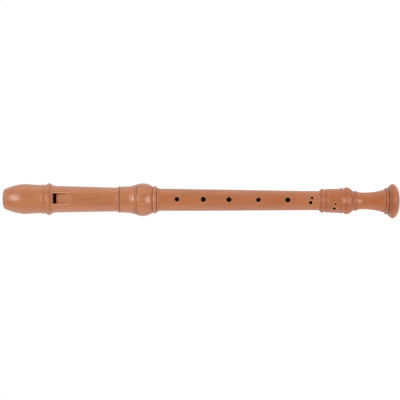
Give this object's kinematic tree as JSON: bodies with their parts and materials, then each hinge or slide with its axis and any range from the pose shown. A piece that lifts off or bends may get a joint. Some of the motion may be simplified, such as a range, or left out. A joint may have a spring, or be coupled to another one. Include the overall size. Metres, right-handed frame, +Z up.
{
  "type": "recorder",
  "caption": "Baroque-pattern alto recorder in turned wooden joints: beaked head with window and block, tapered middle joint with finger holes, and a foot joint with a flared bell.",
  "frame": {"origin": "middle of the bell's end face, on which the recorder stands", "axes": "+Z up the bore from the bell to the beak's tip; the window and the finger holes face -Y, the thumb hole faces +Y"},
  "size_m": [0.0444, 0.0444, 0.5007],
  "materials": {
    "pearwood": "stained and oiled, satin",
    "cedar": "bare, matte",
    "cork": "cork, greased, matte"
  },
  "bodies": {
    "foot": {"foot_joint": "pearwood"},
    "lower_cork": {"lower_tenon_cork": "cork"},
    "middle": {"middle_joint": "pearwood"},
    "upper_cork": {"upper_tenon_cork": "cork"},
    "head": {"head_joint": "pearwood"},
    "block": {"block": "cedar"}
  },
  "joints": [
    {"name": "foot_pull", "type": "slide", "parent": "foot", "child": "lower_cork", "axis": [0, 0, 1], "range_m": [0, 0.016]},
    {"name": "foot_turn", "type": "hinge", "parent": "lower_cork", "child": "middle", "pos_m": [0, 0, 0.0944], "axis": [0, 0, 1], "continuous": true},
    {"name": "head_turn", "type": "hinge", "parent": "middle", "child": "upper_cork", "pos_m": [0, 0, 0.3154], "axis": [0, 0, 1], "continuous": true},
    {"name": "head_pull", "type": "slide", "parent": "upper_cork", "child": "head", "axis": [0, 0, 1], "range_m": [0, 0.026]},
    {"name": "block_pull", "type": "slide", "parent": "head", "child": "block", "axis": [0, 0, 1], "range_m": [0, 0.066]}
  ]
}
